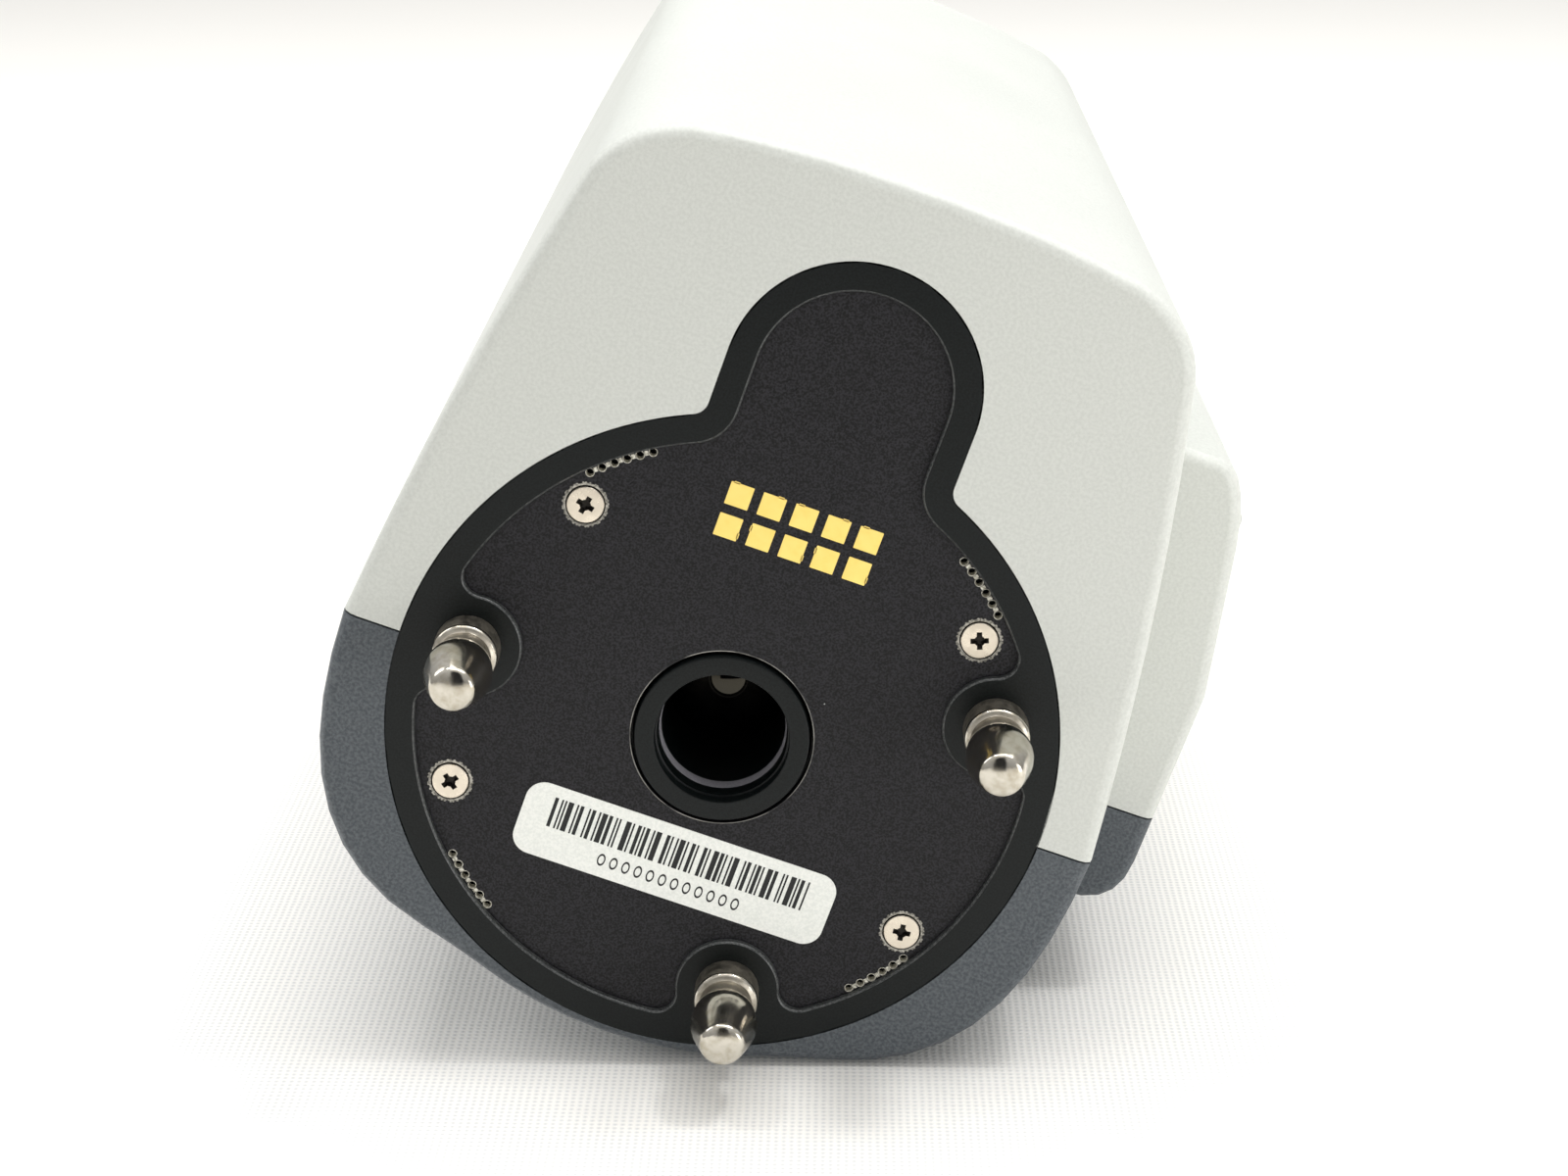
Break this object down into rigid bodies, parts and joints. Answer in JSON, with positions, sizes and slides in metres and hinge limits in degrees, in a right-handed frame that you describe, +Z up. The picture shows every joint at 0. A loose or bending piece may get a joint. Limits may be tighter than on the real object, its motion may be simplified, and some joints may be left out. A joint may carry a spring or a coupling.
{
  "type": "surveying total station",
  "caption": "Motorised surveying total station: keyed docking base with steel locating pins, two-tone column with display, turning fork head, tilting telescope and carrying handle.",
  "frame": {"origin": "on the vertical axis, at the face of the docking base's rim", "axes": "+Z up along the vertical axis; +Y towards the base's tongue (rear); -Y faces the person at the display"},
  "size_m": [0.1326, 0.1403, 0.3995],
  "materials": {
    "shell_white": "pale grey-white moulded plastic, fine satin grain",
    "shell_slate": "blue-grey moulded plastic, fine satin grain",
    "base_black": "black anodised casting, satin",
    "board": "matte black solder mask with gold contact pads",
    "steel": "polished turned steel",
    "nickel": "nickel-plated screws",
    "label": "white self-adhesive film with printed bars",
    "glass": "coated optical glass",
    "display": "dark display window",
    "alloy": "milled aluminium alloy",
    "copper": "copper windings on an iron core",
    "black_plastic": "black moulded plastic",
    "rubber": "soft-touch rubber"
  },
  "bodies": {
    "column": {"rear_shell": "shell_white", "front_shell": "shell_slate", "deck_cover": "shell_white", "base_frame": "base_black", "contact_board": "board", "serial_label": "label", "plummet_barrel": "black_plastic", "plummet_lens": "glass", "chassis": "alloy", "axis_housing": "alloy", "lower_bearing": "steel", "upper_bearing": "steel", "azimuth_stator": "copper", "azimuth_read_head": "black_plastic", "battery_pack": "black_plastic", "door_hinge_pin": "steel", "panel_bezel": "black_plastic", "display_glass": "display", "main_board": "board", "port_socket": "steel", "bubble_vial": "glass", "board_screw_1": "nickel", "board_screw_2": "nickel", "board_screw_3": "nickel", "board_screw_4": "nickel", "locating_pin_1": "steel", "locating_pin_2": "steel", "locating_pin_3": "steel"},
    "head": {"azimuth_shaft": "steel", "azimuth_rotor": "steel", "azimuth_encoder_disc": "glass", "turntable": "base_black", "left_upright": "shell_white", "left_side_cover": "shell_slate", "left_trunnion_bearing": "steel", "right_upright": "shell_white", "right_side_cover": "shell_slate", "right_trunnion_bearing": "steel", "carry_handle": "shell_slate"},
    "telescope": {"telescope_housing": "shell_white", "left_trunnion_axle": "steel", "right_trunnion_axle": "steel", "objective_ring": "base_black", "objective_lens": "glass", "optical_sight": "black_plastic"},
    "battery_door": {"battery_door": "shell_white"},
    "door_release": {"door_release_button": "black_plastic"},
    "port_cover": {"port_cover": "rubber"},
    "focus_ring": {"focus_ring": "rubber"},
    "diopter_ring": {"diopter_ring": "rubber"},
    "elevation_knob": {"elevation_drive_knob": "rubber"},
    "azimuth_knob": {"azimuth_drive_knob": "rubber"},
    "function_key_1": {"function_key_1": "rubber"},
    "function_key_2": {"function_key_2": "rubber"},
    "function_key_3": {"function_key_3": "rubber"},
    "nav_pad": {"nav_pad": "rubber"},
    "power_key": {"power_key": "rubber"},
    "enter_key": {"enter_key": "rubber"}
  },
  "joints": [
    {"name": "head_rotation", "type": "hinge", "parent": "column", "child": "head", "pos_m": [0, 0, 0.2465], "axis": [0, 0, 1], "continuous": true},
    {"name": "telescope_tilt", "type": "hinge", "parent": "head", "child": "telescope", "pos_m": [0, 0, 0.302], "axis": [1, 0, 0], "continuous": true},
    {"name": "focus_turn", "type": "hinge", "parent": "telescope", "child": "focus_ring", "pos_m": [0, -0.029, 0.302], "axis": [0, 1, 0], "continuous": true},
    {"name": "diopter_turn", "type": "hinge", "parent": "telescope", "child": "diopter_ring", "pos_m": [0, -0.04, 0.302], "axis": [0, 1, 0], "range_deg": [-160, 160]},
    {"name": "elevation_knob_turn", "type": "hinge", "parent": "head", "child": "elevation_knob", "pos_m": [-0.053, 0, 0.302], "axis": [1, 0, 0], "continuous": true},
    {"name": "azimuth_knob_turn", "type": "hinge", "parent": "head", "child": "azimuth_knob", "pos_m": [-0.053, 0, 0.272], "axis": [1, 0, 0], "continuous": true},
    {"name": "battery_door_swing", "type": "hinge", "parent": "column", "child": "battery_door", "pos_m": [-0.06887, 0.04568, 0.109], "axis": [0, 0, -1], "range_deg": [0, 110]},
    {"name": "door_release_press", "type": "slide", "parent": "column", "child": "door_release", "axis": [1, 0, 0], "range_m": [0, 0.0012], "stiffness_N_per_m": 600},
    {"name": "port_cover_swing", "type": "hinge", "parent": "column", "child": "port_cover", "pos_m": [0, -0.0469, 0.0652], "axis": [1, 0, 0], "range_deg": [0, 100]},
    {"name": "function_key_1_press", "type": "slide", "parent": "column", "child": "function_key_1", "axis": [0, 1, 0], "range_m": [0, 0.0008], "stiffness_N_per_m": 600},
    {"name": "function_key_2_press", "type": "slide", "parent": "column", "child": "function_key_2", "axis": [0, 1, 0], "range_m": [0, 0.0008], "stiffness_N_per_m": 600},
    {"name": "function_key_3_press", "type": "slide", "parent": "column", "child": "function_key_3", "axis": [0, 1, 0], "range_m": [0, 0.0008], "stiffness_N_per_m": 600},
    {"name": "nav_pad_press", "type": "slide", "parent": "column", "child": "nav_pad", "axis": [0, 1, 0], "range_m": [0, 0.0008], "stiffness_N_per_m": 600},
    {"name": "power_key_press", "type": "slide", "parent": "column", "child": "power_key", "axis": [0, 1, 0], "range_m": [0, 0.0008], "stiffness_N_per_m": 600},
    {"name": "enter_key_press", "type": "slide", "parent": "column", "child": "enter_key", "axis": [0, 1, 0], "range_m": [0, 0.0008], "stiffness_N_per_m": 600}
  ]
}
